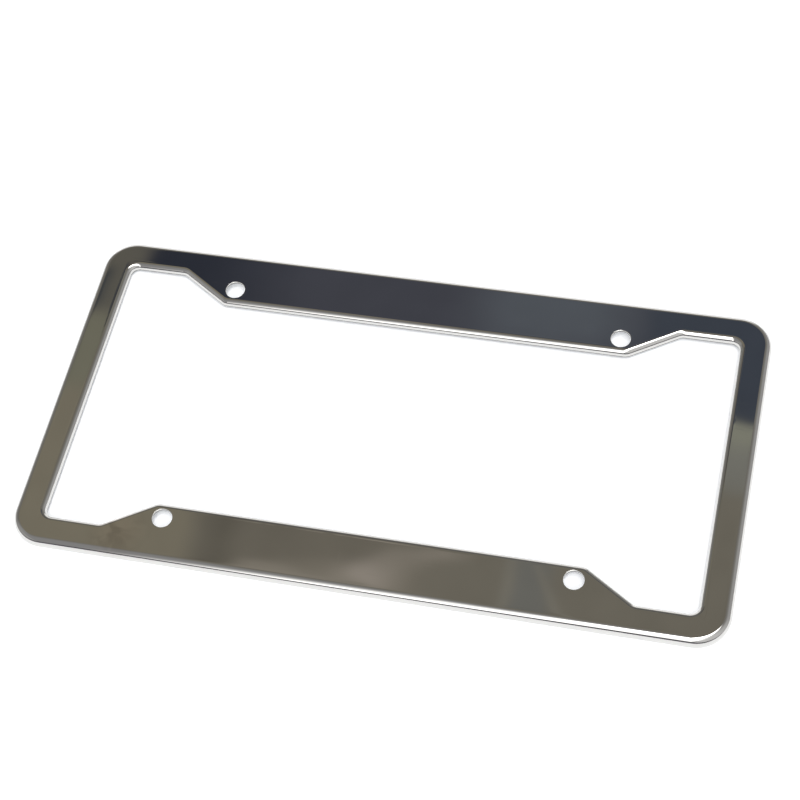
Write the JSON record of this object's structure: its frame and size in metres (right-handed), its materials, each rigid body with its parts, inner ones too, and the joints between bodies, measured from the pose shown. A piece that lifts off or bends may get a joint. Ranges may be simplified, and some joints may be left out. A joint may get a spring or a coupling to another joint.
{
  "type": "number plate holder",
  "caption": "Flat rectangular frame of polished sheet steel with flanged edges and holed tabs along its window, screwed over a vehicle's number plate to border it.",
  "frame": {"origin": "centre of the footprint, on the surface that the outer flange's rim rests on", "axes": "+X along the frame's length, +Y across it towards the upper long bar, +Z out of its polished face"},
  "size_m": [0.309, 0.1608, 0.0045],
  "materials": {
    "polished_steel": "mirror-polished stainless steel"
  },
  "bodies": {
    "root": {"plate_frame": "polished_steel"}
  },
  "joints": []
}
